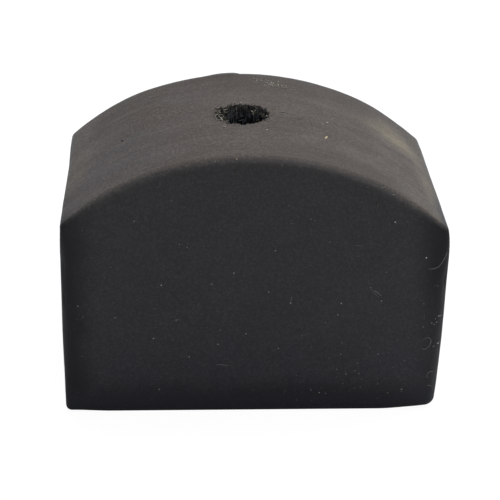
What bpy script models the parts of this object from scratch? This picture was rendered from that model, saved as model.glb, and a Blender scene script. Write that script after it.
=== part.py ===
"""Rubber bump stop block with a moulded-in steel screw seat.

A solid rubber block with a flat base and upright walls, whose crown is one
circular arc across the width.  A bore drops from the crown to a steel washer
that is moulded into the rubber, and a short steel sleeve carries the washer
down to the base, so a fixing screw clamps steel and not rubber.

Frame: +X across the width, +Y towards the back, +Z up.  The origin is the
centre of the base.  Units are metres.
"""

import math

import bmesh
import bpy

# ---------------------------------------------------------------- dimensions
BLOCK_WIDTH = 0.070  # X
BLOCK_DEPTH = 0.044  # Y
BLOCK_HEIGHT = 0.052  # base to top of crown
EAVE_HEIGHT = 0.0383  # where the crown arc would meet the side wall
EAVE_FILLET = 0.0030  # softens that meeting
CORNER_RADIUS = 0.0024  # four upright corners
CROWN_EDGE_RADIUS = 0.0013  # front and back edges of the crown
CROWN_EDGE_EASE = 0.0140  # distance over which one radius eases to the other
BASE_EDGE_RADIUS = 0.0005  # edges of the base
HALF_WIDTH = BLOCK_WIDTH / 2
HALF_DEPTH = BLOCK_DEPTH / 2

BORE_X = -0.0020  # the bore stands a little off centre
BORE_Y = -0.0007
BORE_DIAMETER = 0.0100  # passes an M6 socket screw's head

GAP = 0.0003  # clearance between neighbouring pieces
EDGE_BREAK = 0.0002  # chamfer on the steel pieces

WASHER_OUTER = 0.0180  # diameters of a large M6 washer
WASHER_INNER = 0.0064
WASHER_THICKNESS = 0.0016
WASHER_UNDERSIDE = 0.0120  # its height above the base
WASHER_TOP = WASHER_UNDERSIDE + WASHER_THICKNESS

SLEEVE_OUTER = 0.0100  # diameters
SLEEVE_INNER = 0.0066
SLEEVE_RECESS = 0.0003  # the sleeve stops short of the base plane
SLEEVE_TOP = WASHER_UNDERSIDE - GAP

CUTTER_OVERRUN = 0.004  # the cutter passes the crown and the base by this much

CROWN_STEPS = 44  # facets along the crown arc
FILLET_STEPS = 5
BEVEL_STEPS = 5
TURNING_STEPS = 56  # facets round the bore, washer and sleeve

NEAR = 1e-6  # points closer than this count as touching
SHARP_ANGLE = math.radians(35)  # steeper edges are shaded sharp


# --------------------------------------------------------- scene and materials
def clear_scene():
    for obj in list(bpy.data.objects):
        bpy.data.objects.remove(obj, do_unlink=True)


def new_collection(name):
    collection = bpy.data.collections.new(name)
    bpy.context.scene.collection.children.link(collection)
    return collection


def principled(name, colour, roughness, metallic):
    material = bpy.data.materials.new(name)
    material.use_nodes = True
    shader = material.node_tree.nodes["Principled BSDF"]
    shader.inputs["Base Color"].default_value = (*colour, 1.0)
    shader.inputs["Roughness"].default_value = roughness
    shader.inputs["Metallic"].default_value = metallic
    material.diffuse_color = (*colour, 1.0)
    return material


def black_rubber():
    return principled(
        "black_rubber", colour=(0.030, 0.030, 0.033), roughness=0.85, metallic=0.0
    )


def washer_steel():
    return principled(
        "zinc_plated_washer", colour=(0.58, 0.58, 0.56), roughness=0.38, metallic=1.0
    )


def sleeve_steel():
    return principled(
        "zinc_plated_sleeve", colour=(0.52, 0.52, 0.51), roughness=0.42, metallic=1.0
    )


# -------------------------------------------------------------- rubber block
def arc(centre, radius, start, end, steps):
    """Points on a circular arc in the XZ plane, both ends included."""
    angles = [start + (end - start) * i / steps for i in range(steps + 1)]
    return [
        (centre[0] + radius * math.cos(angle), centre[1] + radius * math.sin(angle))
        for angle in angles
    ]


def block_outline():
    """The block's front outline, anticlockwise from the lower left corner."""
    rise = BLOCK_HEIGHT - EAVE_HEIGHT
    crown_radius = (HALF_WIDTH**2 + rise**2) / (2 * rise)
    crown_z = BLOCK_HEIGHT - crown_radius
    # The fillet circle touches the wall and the inside of the crown circle.
    fillet_x = HALF_WIDTH - EAVE_FILLET
    fillet_z = crown_z + math.sqrt((crown_radius - EAVE_FILLET) ** 2 - fillet_x**2)
    turn = math.atan2(fillet_z - crown_z, fillet_x)
    right = arc((fillet_x, fillet_z), EAVE_FILLET, 0.0, turn, FILLET_STEPS)
    crown = arc((0.0, crown_z), crown_radius, turn, math.pi - turn, CROWN_STEPS)
    left = arc((-fillet_x, fillet_z), EAVE_FILLET, math.pi - turn, math.pi, FILLET_STEPS)
    # The crown's end points are already the ends of the fillets.
    return [(-HALF_WIDTH, 0.0), (HALF_WIDTH, 0.0)] + right + crown[1:-1] + left


def extruded(name, outline, depth):
    """A mesh of the closed outline, standing in the XZ plane and centred on Y."""
    curve = bpy.data.curves.new(name + "_outline", "CURVE")
    curve.dimensions = "2D"
    curve.fill_mode = "BOTH"
    curve.extrude = depth / 2
    spline = curve.splines.new("POLY")
    spline.points.add(len(outline) - 1)
    for point, (x, z) in zip(spline.points, outline):
        point.co = (x, z, 0.0, 1.0)
    spline.use_cyclic_u = True

    # A temporary object stands the curve upright and turns it into a mesh.
    guide = bpy.data.objects.new(name + "_outline", curve)
    guide.rotation_euler = (math.radians(90), 0.0, 0.0)
    bpy.context.scene.collection.objects.link(guide)
    bpy.context.view_layer.update()
    graph = bpy.context.evaluated_depsgraph_get()
    mesh = bpy.data.meshes.new_from_object(guide.evaluated_get(graph))
    mesh.name = name
    mesh.transform(guide.matrix_world)
    bpy.data.objects.remove(guide, do_unlink=True)
    bpy.data.curves.remove(curve)

    # Weld the caps to the walls and make each cap a single face.
    solid = bmesh.new()
    solid.from_mesh(mesh)
    bmesh.ops.remove_doubles(solid, verts=solid.verts, dist=NEAR)
    for side in (-1, 1):
        cap = [face for face in solid.faces if face.normal.y * side > 0.99]
        bmesh.ops.dissolve_faces(solid, faces=cap, use_verts=False)
    bmesh.ops.recalc_face_normals(solid, faces=solid.faces)
    solid.to_mesh(mesh)
    solid.free()
    return mesh


def edge_radius(start, end):
    """The rounding wanted on the block edge between two points, 0 for none."""
    on_cap = abs(abs(start.y) - HALF_DEPTH) < NEAR and abs(start.y - end.y) < NEAR
    on_wall = abs(abs(start.x) - HALF_WIDTH) < NEAR and abs(start.x - end.x) < NEAR
    if max(start.z, end.z) < NEAR:
        return BASE_EDGE_RADIUS if on_cap or on_wall else 0.0
    if not on_cap:
        return 0.0
    # Full radius up the wall and round the eave, then easing inwards.
    inwards = HALF_WIDTH - EAVE_FILLET - abs(start.x + end.x) / 2
    share = min(1.0, max(0.0, inwards / CROWN_EDGE_EASE))
    return CORNER_RADIUS + (CROWN_EDGE_RADIUS - CORNER_RADIUS) * share


def weigh_edges(mesh):
    """Gives each outer edge its share of CORNER_RADIUS as a bevel weight."""
    solid = bmesh.new()
    solid.from_mesh(mesh)
    weight = solid.edges.layers.float.new("bevel_weight_edge")
    for edge in solid.edges:
        start, end = (vert.co for vert in edge.verts)
        edge[weight] = edge_radius(start, end) / CORNER_RADIUS
    solid.to_mesh(mesh)
    solid.free()


def rubber_block(collection):
    mesh = extruded("rubber_block", block_outline(), BLOCK_DEPTH)
    weigh_edges(mesh)
    mesh.materials.clear()
    mesh.materials.append(black_rubber())
    mesh.shade_smooth()
    mesh.set_sharp_from_angle(angle=SHARP_ANGLE)
    block = bpy.data.objects.new("rubber_block", mesh)
    collection.objects.link(block)
    rounding = block.modifiers.new("rounded_edges", "BEVEL")
    rounding.limit_method = "WEIGHT"
    rounding.width = CORNER_RADIUS
    rounding.segments = BEVEL_STEPS
    rounding.use_clamp_overlap = False
    return block


# ------------------------------------------------------------- turned pieces
def make_bore_axis(collection):
    """The empty that carries everything round."""
    axis = bpy.data.objects.new("bore_axis", None)
    axis.empty_display_size = 0.01
    axis.location = (BORE_X, BORE_Y, 0.0)
    collection.objects.link(axis)
    return axis


def turned(name, profile, closed, axis, collection):
    """A shape turned about the axis from (radius, height) points, which run
    down the outer side.  A closed profile joins its last point to its first."""
    mesh = bpy.data.meshes.new(name)
    section = bmesh.new()
    verts = [section.verts.new((radius, 0.0, height)) for radius, height in profile]
    for pair in zip(verts, verts[1:]):
        section.edges.new(pair)
    if closed:
        section.edges.new((verts[-1], verts[0]))
    section.to_mesh(mesh)
    section.free()

    obj = bpy.data.objects.new(name, mesh)
    obj.parent = axis
    collection.objects.link(obj)
    screw = obj.modifiers.new("turn", "SCREW")
    screw.axis = "Z"
    screw.angle = 2 * math.pi
    screw.steps = TURNING_STEPS
    screw.render_steps = TURNING_STEPS
    screw.use_merge_vertices = True
    screw.merge_threshold = 0.00001
    screw.use_smooth_shade = False
    return obj


def steel_ring(name, inner, outer, low, high, material, axis, collection):
    """A ring of the given radii and heights, with all four edges broken."""
    profile = [
        (outer - EDGE_BREAK, high),
        (outer, high - EDGE_BREAK),
        (outer, low + EDGE_BREAK),
        (outer - EDGE_BREAK, low),
        (inner + EDGE_BREAK, low),
        (inner, low + EDGE_BREAK),
        (inner, high - EDGE_BREAK),
        (inner + EDGE_BREAK, high),
    ]
    ring = turned(name, profile, True, axis, collection)
    ring.data.materials.append(material)


def seat_washer(axis, collection):
    """The steel washer at the foot of the bore."""
    steel_ring(
        "seat_washer",
        inner=WASHER_INNER / 2,
        outer=WASHER_OUTER / 2,
        low=WASHER_UNDERSIDE,
        high=WASHER_TOP,
        material=washer_steel(),
        axis=axis,
        collection=collection,
    )


def distance_sleeve(axis, collection):
    """The sleeve that stands under the washer."""
    steel_ring(
        "distance_sleeve",
        inner=SLEEVE_INNER / 2,
        outer=SLEEVE_OUTER / 2,
        low=SLEEVE_RECESS,
        high=SLEEVE_TOP,
        material=sleeve_steel(),
        axis=axis,
        collection=collection,
    )


def bore_cutter(axis, collection):
    """One stepped cutter: the bore, the washer's pocket and the sleeve's pocket."""
    top = BLOCK_HEIGHT + CUTTER_OVERRUN
    bottom = -CUTTER_OVERRUN
    pocket_top = WASHER_TOP + GAP
    pocket_floor = WASHER_UNDERSIDE - GAP
    bore = BORE_DIAMETER / 2
    washer_pocket = WASHER_OUTER / 2 + GAP
    sleeve_pocket = SLEEVE_OUTER / 2 + GAP
    profile = [
        (0.0, top),
        (bore, top),
        (bore, pocket_top),
        (washer_pocket, pocket_top),
        (washer_pocket, pocket_floor),
        (sleeve_pocket, pocket_floor),
        (sleeve_pocket, bottom),
        (0.0, bottom),
    ]
    cutter = turned("bore_cutter", profile, False, axis, collection)
    cutter.hide_render = True
    cutter.display_type = "WIRE"
    return cutter


def cut_bore(block, cutter):
    bore = block.modifiers.new("bore", "BOOLEAN")
    bore.operation = "DIFFERENCE"
    bore.object = cutter
    bore.solver = "EXACT"


# --------------------------------------------------------------------- build
clear_scene()
parts = new_collection("bump_stop_block")
cutters = new_collection("bump_stop_block_cutters")

bore_axis = make_bore_axis(parts)
block = rubber_block(parts)
seat_washer(bore_axis, parts)
distance_sleeve(bore_axis, parts)
cut_bore(block, bore_cutter(bore_axis, cutters))
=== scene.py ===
"""Looks for a rubber bump stop block: the moulded body with worn edges and a torn
bore, cords and crumbs at the bore's mouth, and grit and lint on its faces.

The block stands on z = 0, centred on the z axis. Its width runs along x, with the
right at +x, and its front faces -y. Its arched crown spans the width, and an upright
bore runs through it, with pockets for a washer and a sleeve below.

Builders work in millimetres; meshes are scaled to metres last.
"""

import math

import bmesh
import bpy
import numpy as np
from mathutils import Matrix, Vector
from mathutils.bvhtree import BVHTree


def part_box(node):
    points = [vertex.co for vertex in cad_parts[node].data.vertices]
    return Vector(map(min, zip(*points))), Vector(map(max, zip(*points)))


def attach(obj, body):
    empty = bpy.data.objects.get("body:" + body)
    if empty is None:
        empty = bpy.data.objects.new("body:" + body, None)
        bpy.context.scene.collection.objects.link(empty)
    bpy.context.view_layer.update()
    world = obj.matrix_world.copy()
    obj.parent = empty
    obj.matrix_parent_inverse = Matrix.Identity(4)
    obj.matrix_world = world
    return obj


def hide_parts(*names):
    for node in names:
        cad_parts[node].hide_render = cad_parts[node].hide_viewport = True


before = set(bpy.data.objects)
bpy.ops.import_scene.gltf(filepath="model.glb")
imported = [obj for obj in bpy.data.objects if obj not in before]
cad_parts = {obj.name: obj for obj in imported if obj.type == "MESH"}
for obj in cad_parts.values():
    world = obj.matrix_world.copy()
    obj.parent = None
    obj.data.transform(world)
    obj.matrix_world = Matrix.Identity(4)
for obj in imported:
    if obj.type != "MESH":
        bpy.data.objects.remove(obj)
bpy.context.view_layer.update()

MM = 0.001

# --------------------------------------------------------------- dimensions
block_lo, block_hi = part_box("rubber_block")
washer_lo, washer_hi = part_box("seat_washer")
sleeve_lo, sleeve_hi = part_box("distance_sleeve")

WIDTH = (block_hi.x - block_lo.x) / MM
DEPTH = (block_hi.y - block_lo.y) / MM
HEIGHT = (block_hi.z - block_lo.z) / MM
HALF_WIDTH, HALF_DEPTH = WIDTH / 2, DEPTH / 2
BORE_X = (washer_lo.x + washer_hi.x) / 2 / MM
BORE_Y = (washer_lo.y + washer_hi.y) / 2 / MM
BORE_RADIUS = 5.0
CLEARANCE = 0.3
WASHER_RADIUS = (washer_hi.x - washer_lo.x) / 2 / MM + CLEARANCE
SLEEVE_RADIUS = (sleeve_hi.x - sleeve_lo.x) / 2 / MM + CLEARANCE
POCKET_BOTTOM = washer_lo.z / MM - CLEARANCE
POCKET_TOP = washer_hi.z / MM + CLEARANCE

# The crown is an arc that rises from the eaves, where it meets the side walls.
RISE = 13.68
EAVE_Z = HEIGHT - RISE
CROWN_RADIUS = (HALF_WIDTH**2 + RISE**2) / (2 * RISE)
CROWN_Z = HEIGHT - CROWN_RADIUS
EAVE_ROUND_RIGHT, EAVE_ROUND_LEFT = 1.0, 0.8

# Faults of the moulding: heights fall off to the right by LEAN of themselves, the
# feet are shifted and both side walls belly.
LEAN = 0.0275
FOOT_RIGHT, FOOT_LEFT = 0.28, -0.23
BELLY_RIGHT, BELLY_LEFT = 0.64, 0.30

# Nominal lengths that the spacing of the block's rings is laid out on.
FACE_SPAN = 24.0
WALL_SPAN = 43.0
BORE_SPAN = 36.0
BORE_FINE_FROM = 0.62  # share of the bore's height above which rings are fine


# -------------------------------------------------------------------- noise
def hashed(ix, iy, iz, seed):
    """A repeatable value in [0, 1) for each lattice point."""
    mixed = (
        ix.astype(np.int64) * 374761393
        + iy.astype(np.int64) * 668265263
        + iz.astype(np.int64) * 2147483647
        + seed * 1274126177
    )
    mixed = (mixed ^ (mixed >> 13)) * 1274126177
    mixed = mixed & 0x7FFFFFFF
    mixed = (mixed ^ (mixed >> 16)) * 73244475
    mixed = mixed & 0x7FFFFFFF
    return ((mixed ^ (mixed >> 15)) & 0xFFFFFF) / float(0x1000000)


def value_noise(points, seed):
    """Smooth noise in [-1, 1] at each point."""
    base = np.floor(points)
    part = points - base
    part = part * part * part * (part * (part * 6 - 15) + 10)
    cell = base.astype(np.int64)
    total = 0.0
    for dx in (0, 1):
        wx = part[:, 0] if dx else 1 - part[:, 0]
        for dy in (0, 1):
            wy = part[:, 1] if dy else 1 - part[:, 1]
            for dz in (0, 1):
                wz = part[:, 2] if dz else 1 - part[:, 2]
                total = total + wx * wy * wz * hashed(
                    cell[:, 0] + dx, cell[:, 1] + dy, cell[:, 2] + dz, seed
                )
    return total * 2 - 1


def fractal(points, size, seed, octaves=3):
    """Summed noise whose largest features are about size across."""
    total, weight, scale = 0.0, 0.0, 1.0
    for k in range(octaves):
        total = total + value_noise(points / (size * scale) + 17.3 * k, seed + k) * scale
        weight += scale
        scale *= 0.5
    return total / weight


def step(start, end, value):
    """0 at start, rising smoothly to 1 at end."""
    share = np.clip((value - start) / (end - start), 0, 1)
    return share * share * (3 - 2 * share)


# ------------------------------------------------------------- block surface
def crown_z(x):
    return CROWN_Z + np.sqrt(CROWN_RADIUS**2 - x * x)


def edge_radius(x, y, z):
    """The rounding at a point of the sharp-edged block."""
    off_middle = np.abs(x)
    base = 0.5 + 1.35 * step(24, 34, x) + 0.6 * step(26, 34, -x)
    wall = 1.35 + 0.75 * step(26, 34, off_middle)
    front = 1.95 + 0.25 * step(20, 32, off_middle)
    wall = wall + (front - wall) * step(2, -12, y)
    eave = np.where(x > 0, EAVE_ROUND_RIGHT, EAVE_ROUND_LEFT)
    eave = eave + np.where(x > 0, 0.8, 0.7) * step(12, 21, y)
    off_eave = np.maximum(step(1, 8, EAVE_Z - z), step(1, 9, HALF_WIDTH - off_middle))
    upper = eave + (wall - eave) * off_eave
    return base + (upper - base) * step(1.5, 9, z)


def rounded(points):
    """Moves points of the sharp-edged block onto its rounded surface. Returns
    the points, their outward normals, and how far into an edge each one is."""
    x, y, z = points.T
    radius = edge_radius(x, y, z)
    # A core, set in by the rounding; each point moves to radius from its nearest.
    core_x, core_radius = HALF_WIDTH - radius, CROWN_RADIUS - radius
    corner_z = CROWN_Z + np.sqrt(core_radius**2 - core_x**2)
    near_x = np.clip(x, -core_x, core_x)
    near_z = np.maximum(z, radius)
    far = np.hypot(x, z - CROWN_Z)
    above = (far > core_radius) & (z > radius)
    arc_x = x * core_radius / far
    arc_z = CROWN_Z + (z - CROWN_Z) * core_radius / far
    on_arc = above & (np.abs(arc_x) <= core_x) & ((np.abs(x) <= core_x) | (z > corner_z))
    at_corner = above & ~on_arc & (z > corner_z)
    near_x = np.where(on_arc, arc_x, np.where(at_corner, np.sign(x) * core_x, near_x))
    near_z = np.where(on_arc, arc_z, np.where(at_corner, corner_z, near_z))
    near_y = np.clip(y, radius - HALF_DEPTH, HALF_DEPTH - radius)
    away = np.stack([x - near_x, y - near_y, z - near_z], 1)
    length = np.maximum(np.linalg.norm(away, axis=1), 1e-9)
    normals = away / length[:, None]
    nearest = np.stack([near_x, near_y, near_z], 1)
    into_edge = np.clip((length - radius) / (0.4142 * radius), 0, 1)
    return nearest + normals * radius[:, None], normals, into_edge


def top_scale():
    """What brings the leaned crown back up to the full height."""
    x = np.linspace(-20, 20, 81)
    return HEIGHT / (crown_z(x) * (1 - LEAN * (x + HALF_WIDTH) / WIDTH)).max()


TOP_SCALE = top_scale()


def leaned(points):
    """Takes the true block to the slightly uneven one that was moulded."""
    x, y, z = points.T
    up_wall = np.clip(z / 37, 0, 1)
    belly = 4 * up_wall * (1 - up_wall)
    shoulder = np.exp(-(((z - 33) / 5) ** 2))
    eave, top_edge = step(33, 38, z), step(36.4, 38.6, z)
    right, left = step(10, HALF_WIDTH, x), step(10, HALF_WIDTH, -x)
    right_end, left_end = step(24, HALF_WIDTH, x), step(24, HALF_WIDTH, -x)
    moved_x = (
        x
        - FOOT_RIGHT * (1 - z / 40) * step(0, HALF_WIDTH, x)
        + FOOT_LEFT * (1 - z / 40) * step(0, HALF_WIDTH, -x)
        + BELLY_RIGHT * belly * right
        - BELLY_LEFT * belly * left
        + 0.27 * shoulder * right
        - (0.12 + 0.14 * step(0, 18, y)) * shoulder * left
        + 0.24 * step(2, 19, y) * eave * right_end
        - 0.18 * step(-3, -19, y) * top_edge * right_end
        - 0.24 * step(4, 17, y) * eave * left_end
    )
    moved_z = z * (1 - LEAN * (x + HALF_WIDTH) / WIDTH) * TOP_SCALE
    # The front right foot is lifted, and the crown swells towards its back corners.
    heel = step(31.0, 34.2, x) * step(-6, -16, y) * np.clip(1 - z / 4.5, 0, 1)
    moved_z = moved_z + 0.18 * heel
    haunch = np.exp(-(((np.abs(x) - 24) / 7) ** 2)) * step(6, 20, y)
    moved_z = moved_z + np.where(x > 0, 0.22, 0.36) * haunch * step(30, 42, z)
    hip = np.exp(-(((x + 30.5) / 3.2) ** 2)) * step(8, 20, y)
    moved_z = moved_z + 0.15 * hip * step(30, 39, z)
    return np.stack([moved_x, y, moved_z], 1)


# -------------------------------------------------------------- block layout
def spaced(length, ends=3.2, end_step=0.27, middle_step=0.72):
    """Positions from 0 to length, close together near both ends."""
    end_count = max(1, round(ends / end_step))
    middle_count = max(1, round((length - 2 * ends) / middle_step))
    return np.concatenate(
        [
            np.linspace(0, ends, end_count + 1)[:-1],
            np.linspace(ends, length - ends, middle_count + 1)[:-1],
            np.linspace(length - ends, length, end_count + 1),
        ]
    )


def perimeter():
    """The plan outline, anticlockwise from the front left corner."""
    xs = spaced(WIDTH) - HALF_WIDTH
    ys = spaced(DEPTH) - HALF_DEPTH
    front = [(x, -HALF_DEPTH) for x in xs[:-1]]
    right = [(HALF_WIDTH, y) for y in ys[:-1]]
    back = [(x, HALF_DEPTH) for x in xs[::-1][:-1]]
    left = [(-HALF_WIDTH, y) for y in ys[::-1][:-1]]
    return np.array(front + right + back + left)


def growing(length, first, ratio, widest, tail, tail_step):
    """Distances from 0 to length: fine, then growing, then even in the tail."""
    out, far, gap = [0.0], 0.0, first
    while far + gap < length - tail:
        far += gap
        out.append(far)
        gap = min(gap * ratio, widest)
    out[-1] = length - tail
    out += list(np.linspace(length - tail, length, round(tail / tail_step) + 1)[1:])
    return np.array(out)


def block_rings(rim):
    """Rings of points over the whole sharp-edged block, the kind of surface each
    lies on, and the unit directions out from the bore's axis."""
    axis = np.array([BORE_X, BORE_Y])
    outward = rim - axis
    reach = np.linalg.norm(outward, axis=1)
    outward = outward / reach[:, None]
    angle = np.arctan2(outward[:, 1], outward[:, 0])
    around = np.stack([np.cos(angle), np.sin(angle), np.zeros(len(rim))], 1)
    rings, kinds = [], []

    def add(ring, kind):
        rings.append(ring)
        kinds.append(kind)

    def plan(inner, share):
        """Part of the way from a circle round the bore to the rim."""
        return axis + outward * (inner + (reach - inner) * share)[:, None]

    def circle(radius, z):
        ring = np.array([BORE_X, BORE_Y, 0.0]) + around * radius
        ring[:, 2] = z
        return ring

    # The crown, from the bore's mouth out to the edge of the block.
    crown = growing(FACE_SPAN, first=0.07, ratio=1.13, widest=0.78, tail=3.2, tail_step=0.21)
    for share in crown / FACE_SPAN:
        xy = plan(BORE_RADIUS, share)
        add(np.column_stack([xy, crown_z(xy[:, 0])]), "skin")
    # The four walls, from the crown's edge down to the base.
    wall = growing(WALL_SPAN, first=0.2, ratio=1.14, widest=0.85, tail=2.6, tail_step=0.24)
    for share in wall[1:] / WALL_SPAN:
        add(np.column_stack([rim, crown_z(rim[:, 0]) * (1 - share)]), "skin")
    # The base, back in to the sleeve's pocket.
    base = growing(FACE_SPAN, first=0.3, ratio=1.2, widest=1.7, tail=2.4, tail_step=0.3)
    for share in 1 - base[1:] / FACE_SPAN:
        add(np.column_stack([plan(SLEEVE_RADIUS, share), np.zeros(len(rim))]), "skin")
    # Up the sleeve's pocket and round the washer's.
    for z in np.linspace(0.25, POCKET_BOTTOM, 9):
        add(circle(SLEEVE_RADIUS, z), "pocket")
    for radius in np.linspace(SLEEVE_RADIUS, WASHER_RADIUS, 4)[1:]:
        add(circle(radius, POCKET_BOTTOM), "pocket")
    for z in np.linspace(POCKET_BOTTOM, POCKET_TOP, 3)[1:]:
        add(circle(WASHER_RADIUS, z), "pocket")
    for radius in np.linspace(WASHER_RADIUS, BORE_RADIUS, 5)[1:]:
        add(circle(radius, POCKET_TOP), "pocket")
    # Up the bore to its mouth, with finer rings near the top.
    mouth = crown_z(rings[0][:, 0])
    low = growing(FACE_SPAN, first=1.3, ratio=1.0, widest=1.3, tail=0.1, tail_step=0.1)
    low = low[1:-1] / FACE_SPAN * BORE_FINE_FROM
    high = growing(13.5, first=0.07, ratio=1.12, widest=0.4, tail=0.1, tail_step=0.1)
    high = 1 - (high[1:] / BORE_SPAN)[::-1]
    for share in [*low, *high[high > BORE_FINE_FROM]]:
        add(circle(BORE_RADIUS, POCKET_TOP + (mouth - POCKET_TOP) * share), "bore")
    return rings, kinds, around


# Soft marks on the crown, as lines of (x, y, half width, strength).
RUB = (
    (
        (22.4, 9.2, 2.0, 0.15), (24.8, 9.2, 3.4, 0.55), (27.3, 9.4, 4.2, 0.9),
        (29.6, 8.9, 4.0, 1.0), (31.3, 7.3, 3.2, 0.8), (32.3, 4.2, 2.2, 0.4),
        (32.8, -2.2, 2.0, 0.45), (33.0, -7.5, 2.1, 0.65), (33.1, -12.0, 1.9, 0.35),
        (33.6, -21.0, 1.8, 0.2),
    ),
)
SMEAR = (((15.1, -7.5, 1.1, 0.3), (17.1, -10.2, 1.7, 0.8), (19.6, -12.3, 1.4, 0.35)),)
STREAKS = (
    ((14.0, 9.5, 0.5, 0.2), (17.5, 7.0, 0.6, 0.5), (20.8, 5.0, 0.6, 0.45), (24.5, 3.0, 0.5, 0.2)),
    (
        (16.8, 0.9, 0.6, 0.3), (19.7, 0.9, 0.9, 0.6), (23.3, 0.9, 0.9, 0.8), (27.2, 0.5, 0.9, 1.0),
        (30.0, 1.3, 0.9, 1.0), (32.0, 1.4, 0.8, 0.8), (33.7, -1.4, 0.7, 0.5),
    ),
    ((14.0, 2.2, 0.5, 0.3), (15.5, 1.3, 0.7, 0.6), (17.6, -0.3, 0.6, 0.3)),
    ((24.7, 1.7, 0.5, 0.4), (29.0, -3.2, 0.6, 0.7), (30.7, -12.0, 0.6, 0.3)),
)


def smeared(points, marks):
    """How strongly a set of soft marks covers each point of the crown."""
    squash_y = (1, 0.5)  # the marks reach twice as far along y as along x
    shown = np.zeros(len(points))
    flat = points[:, :2] * squash_y
    for mark in marks:
        mark = np.array(mark)
        for a, b in zip(mark[:-1], mark[1:]):
            start, way = a[:2] * squash_y, (b[:2] - a[:2]) * squash_y
            share = np.clip((flat - start) @ way / (way @ way), 0, 1)
            away = np.linalg.norm(flat - start - share[:, None] * way, axis=1)
            width = a[2] + (b[2] - a[2]) * share
            strength = a[3] + (b[3] - a[3]) * share
            shown = np.maximum(shown, strength * step(1.0, 0.0, away / width))
    return shown * step(34, 36, points[:, 2])


def near_angle(angle, centre, width):
    """1 at the centre angle, falling to 0 over width either side."""
    away = np.abs((angle - centre + np.pi) % (2 * np.pi) - np.pi)
    return step(width, 0, away)


def wear_outside(points, normals, edge, skin):
    """Unevenness of the moulding, worn edges and flash on the crown's back edge."""
    x, y, z = points.T
    # Long, shallow waviness and a finer ripple on every outer face.
    move = 0.10 * fractal(points, size=17, seed=3, octaves=2)
    move = move + 0.028 * fractal(points, size=3.1, seed=11, octaves=2)
    # Edges: rubbed unevenly, with a few small nicks.
    rub = fractal(points, size=2.2, seed=23)
    nick = step(0.42, 0.75, fractal(points, size=1.5, seed=31, octaves=2))
    front_edge = step(-18, -20.5, y) * step(30, 36, z)
    move = move + edge * (0.10 * rub - 0.05 - 0.18 * nick) * (1 - 0.65 * front_edge)
    # A short lip of flash at the back of the crown.
    lip = (
        step(-9.4, -5.2, x)
        * step(-1.4, -2.6, x)
        * step(HALF_DEPTH - 3.5, HALF_DEPTH - 1.0, y)
        * step(HEIGHT - 6, HEIGHT - 3, z)
    )
    move = (move + 0.27 * lip) * step(0.6, 3.0, z)
    worn = points.copy()
    worn[skin] += (normals * move[:, None])[skin]
    return worn


def tear_bore(points, skin, bore, radial):
    """Tears the bore in upright flutes and roughens its mouth, in place."""
    height = points[:, 2]
    below = crown_z(points[:, 0]) - height
    depth = np.clip(below, 0, None)
    angle = np.arctan2(radial[:, 1], radial[:, 0])
    swirl = np.stack([np.cos(angle) * 5, np.sin(angle) * 5, height * 0.22], 1)
    flutes = 0.5 * fractal(swirl, size=1.2, seed=41, octaves=2)
    flutes = flutes + 0.5 * fractal(swirl, size=0.42, seed=43, octaves=2)
    rough = 0.42 * flutes + 0.20 * fractal(points, size=0.55, seed=47, octaves=2)
    fade = 0.35 + 0.65 * np.exp(-depth / 5.0)
    # The mouth's outline wanders, is chipped and has a few flats and hollows.
    outline = np.stack([np.cos(angle) * 5, np.sin(angle) * 5, np.zeros(len(points))], 1)
    wander = 0.16 * fractal(outline, size=3.0, seed=53, octaves=2)
    wander = wander + 0.20 * fractal(outline, size=0.5, seed=59, octaves=2)
    behind = step(-0.4, 0.5, np.sin(angle))
    chipped = step(0.2, 0.7, fractal(outline, size=0.7, seed=61, octaves=2))
    chips = (0.12 + 0.14 * behind) * chipped
    ends = 0.16 * near_angle(angle, 3.08, 0.13) + 0.06 * near_angle(angle, -0.03, 0.12)
    facet = 0.45 * near_angle(angle, 2.55, 0.30) - 0.42 * near_angle(angle, 1.65, 1.0)
    facet = facet + 0.34 * near_angle(angle, -1.45, 0.75)
    mouth_move = wander + chips + ends + facet
    from_axis = np.hypot(points[:, 0] - BORE_X, points[:, 1] - BORE_Y)
    gap = np.clip(from_axis - BORE_RADIUS, 0, None)
    close = skin & (from_axis < BORE_RADIUS + 7) & (height > HEIGHT - 10)
    bore_move = rough * fade + mouth_move * np.exp(-depth / 0.9)
    points[bore] += (radial * bore_move[:, None])[bore]
    points[close] += (radial * (mouth_move * np.exp(-gap / 1.4))[:, None])[close]
    # The wall's own roughness has to reach the crown at the very edge too.
    points[close] += (radial * (rough * np.exp(-gap / 0.25))[:, None])[close]
    # A lip of torn rubber stands up round the mouth.
    lift = 0.12 + 0.34 * fractal(points, size=0.7, seed=67)
    crown_lift = lift * np.exp(-gap / 0.55) - 0.10 * np.exp(-gap / 1.6)
    points[close, 2] += crown_lift[close]
    top_of_bore = bore & (below < 1.5)
    bore_lift = lift * np.exp(-depth / 0.35) - 0.10 * np.exp(-depth / 0.6)
    points[top_of_bore, 2] += bore_lift[top_of_bore]


def add_attribute(mesh, name, values):
    layer = mesh.attributes.new(name, "FLOAT", "POINT")
    layer.data.foreach_set("value", np.asarray(values).astype(np.float32))


def mesh_object(name, points, faces, attributes):
    """A smooth-shaded object from points in millimetres, facing outwards."""
    mesh = bpy.data.meshes.new(name)
    mesh.from_pydata((np.array(points) * MM).tolist(), [], faces)
    mesh.update()
    for label, values in attributes.items():
        add_attribute(mesh, label, values)
    shell = bmesh.new()
    shell.from_mesh(mesh)
    bmesh.ops.recalc_face_normals(shell, faces=shell.faces)
    shell.to_mesh(mesh)
    shell.free()
    mesh.shade_smooth()
    obj = bpy.data.objects.new(name, mesh)
    bpy.context.scene.collection.objects.link(obj)
    return obj


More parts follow.
